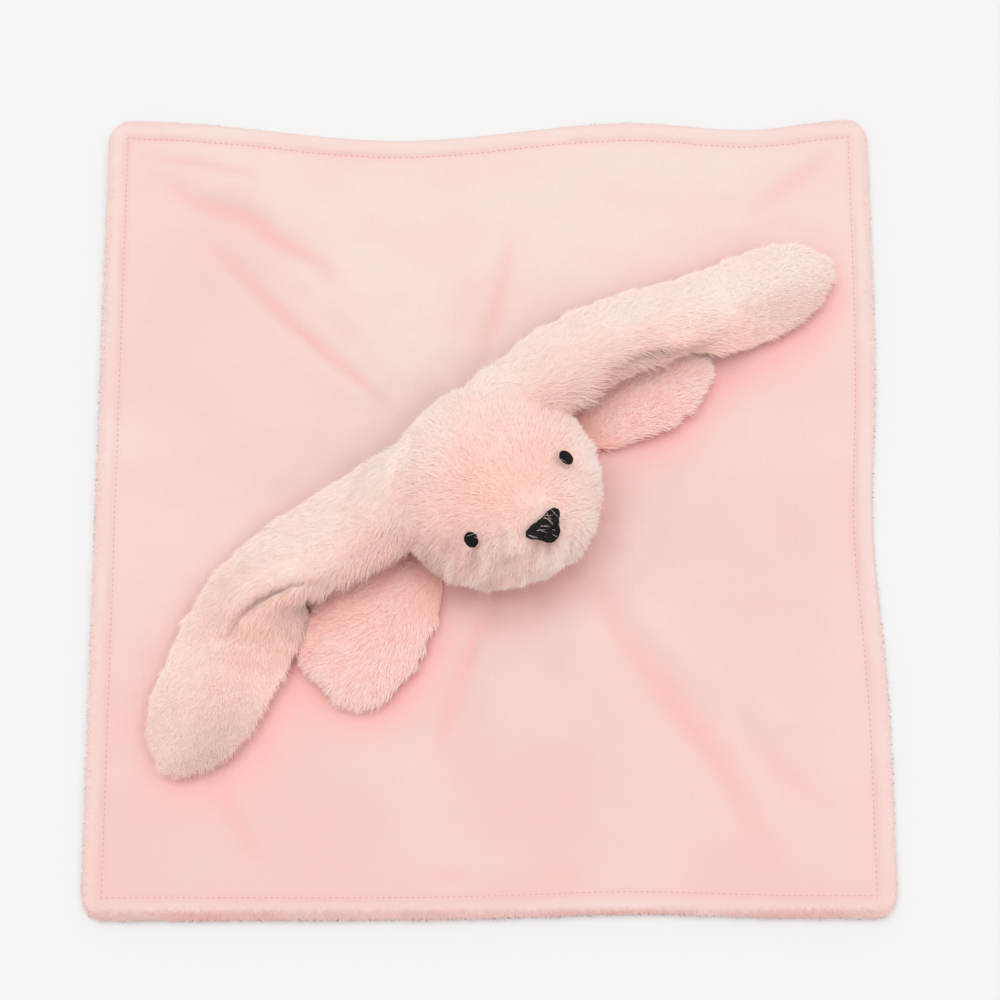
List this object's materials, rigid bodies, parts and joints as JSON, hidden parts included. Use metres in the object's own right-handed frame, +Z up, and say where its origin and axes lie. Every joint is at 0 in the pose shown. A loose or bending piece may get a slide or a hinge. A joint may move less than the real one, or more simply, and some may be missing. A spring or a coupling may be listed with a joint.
{
  "type": "comfort blanket",
  "caption": "Square plush comfort blanket lying flat, with a stuffed lop-eared rabbit's head sewn to its middle, long floppy ears and padded arms beside the neck.",
  "frame": {"origin": "middle of the blanket's underside, on the surface that the blanket lies on", "axes": "+Z up, out of the face that the rabbit is sewn to; +Y along the blanket's longer side, towards the edge that the rabbit's crown leans to; +X to the right of that, so that the rabbit's chin looks towards +X and -Y"},
  "size_m": [0.3344, 0.3455, 0.0627],
  "materials": {
    "blanket_front_panel": "short-pile velour, matte",
    "blanket_back_panel": "short-pile velour, matte",
    "topstitch_upper_thread": "spun sewing thread, matte",
    "topstitch_lower_thread": "spun sewing thread, matte",
    "neck_seam_thread": "spun sewing thread, matte",
    "head_left_cheek_panel": "long-pile plush, soft sheen",
    "head_right_cheek_panel": "long-pile plush, soft sheen",
    "head_centre_gusset": "long-pile plush, soft sheen",
    "head_base_panel": "knitted backing, matte",
    "head_stuffing": "fibre filling, matte",
    "eye_left": "satin-stitch embroidery, satin sheen",
    "eye_right": "satin-stitch embroidery, satin sheen",
    "nose": "satin-stitch embroidery, satin sheen",
    "ear_left_outer_panel": "long-pile plush, soft sheen",
    "ear_left_inner_panel": "long-pile plush, soft sheen",
    "arm_left_top_panel": "long-pile plush, soft sheen",
    "arm_left_under_panel": "long-pile plush, soft sheen",
    "arm_left_stuffing": "fibre filling, matte",
    "ear_right_outer_panel": "long-pile plush, soft sheen",
    "ear_right_inner_panel": "long-pile plush, soft sheen",
    "arm_right_top_panel": "long-pile plush, soft sheen",
    "arm_right_under_panel": "long-pile plush, soft sheen",
    "arm_right_stuffing": "fibre filling, matte"
  },
  "bodies": {
    "blanket": {"blanket_front_panel": "blanket_front_panel", "blanket_back_panel": "blanket_back_panel", "topstitch_upper_thread": "topstitch_upper_thread", "topstitch_lower_thread": "topstitch_lower_thread", "neck_seam_thread": "neck_seam_thread"},
    "head": {"head_left_cheek_panel": "head_left_cheek_panel", "head_right_cheek_panel": "head_right_cheek_panel", "head_centre_gusset": "head_centre_gusset", "head_base_panel": "head_base_panel", "head_stuffing": "head_stuffing", "eye_left": "eye_left", "eye_right": "eye_right", "nose": "nose"},
    "ear_left": {"ear_left_outer_panel": "ear_left_outer_panel", "ear_left_inner_panel": "ear_left_inner_panel"},
    "ear_right": {"ear_right_outer_panel": "ear_right_outer_panel", "ear_right_inner_panel": "ear_right_inner_panel"},
    "arm_left": {"arm_left_top_panel": "arm_left_top_panel", "arm_left_under_panel": "arm_left_under_panel", "arm_left_stuffing": "arm_left_stuffing"},
    "arm_right": {"arm_right_top_panel": "arm_right_top_panel", "arm_right_under_panel": "arm_right_under_panel", "arm_right_stuffing": "arm_right_stuffing"}
  },
  "joints": [
    {"name": "head_tip", "type": "hinge", "parent": "blanket", "child": "head", "pos_m": [0.02594, -0.02454, 0.0057], "axis": [0.7513, 0.66, 0], "range_deg": [0, 30]},
    {"name": "ear_left_lift", "type": "hinge", "parent": "head", "child": "ear_left", "pos_m": [-0.0405, 0.00077, 0.0395], "axis": [-0.0052, 1, 0], "range_deg": [0, 90]},
    {"name": "ear_right_lift", "type": "hinge", "parent": "head", "child": "ear_right", "pos_m": [0.0094, 0.0446, 0.0395], "axis": [0.991, -0.134, 0], "range_deg": [0, 90]},
    {"name": "arm_left_swing", "type": "hinge", "parent": "blanket", "child": "arm_left", "pos_m": [0.0035, 0.001, 0.0057], "axis": [-0.0575, 0.0655, 0.9962], "range_deg": [0, 20]},
    {"name": "arm_right_swing", "type": "hinge", "parent": "blanket", "child": "arm_right", "pos_m": [0.0035, 0.001, 0.0057], "axis": [0.0575, -0.0655, -0.9962], "range_deg": [0, 20]}
  ]
}
